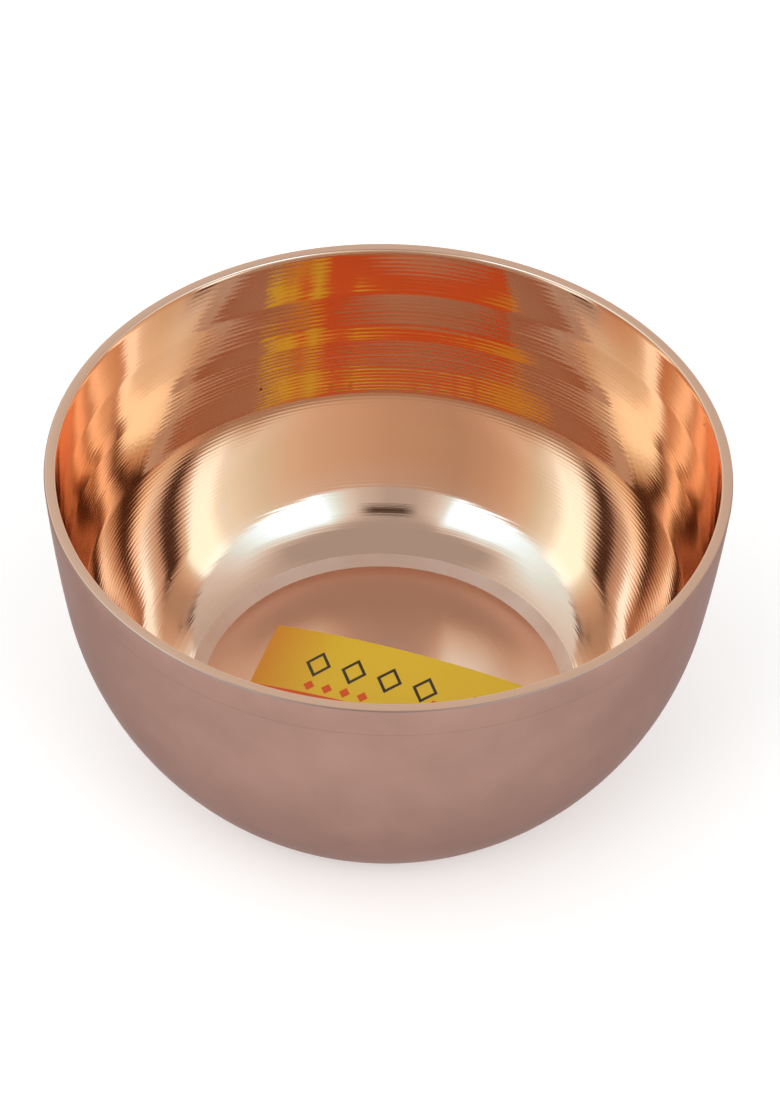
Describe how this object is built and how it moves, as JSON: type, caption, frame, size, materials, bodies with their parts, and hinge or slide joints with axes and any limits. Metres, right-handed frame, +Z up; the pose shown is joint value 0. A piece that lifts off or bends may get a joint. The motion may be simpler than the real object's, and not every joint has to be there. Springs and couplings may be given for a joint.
{
  "type": "offering bowl",
  "caption": "Round turned bronze offering bowl with steep walls, a curved belly, a domed floor, a flat standing ring and a paper label on the floor.",
  "frame": {"origin": "middle of the ring that the bowl stands on, at table height", "axes": "+Z up along the bowl's axis to the rim, -Y towards the viewer, +X to the viewer's right"},
  "size_m": [0.12, 0.12, 0.065],
  "materials": {
    "bronze": "bright turned metal inside, satin outside",
    "label_paper": "semi-gloss printed paper"
  },
  "bodies": {
    "root": {"bowl": "bronze", "label": "label_paper"}
  },
  "joints": []
}
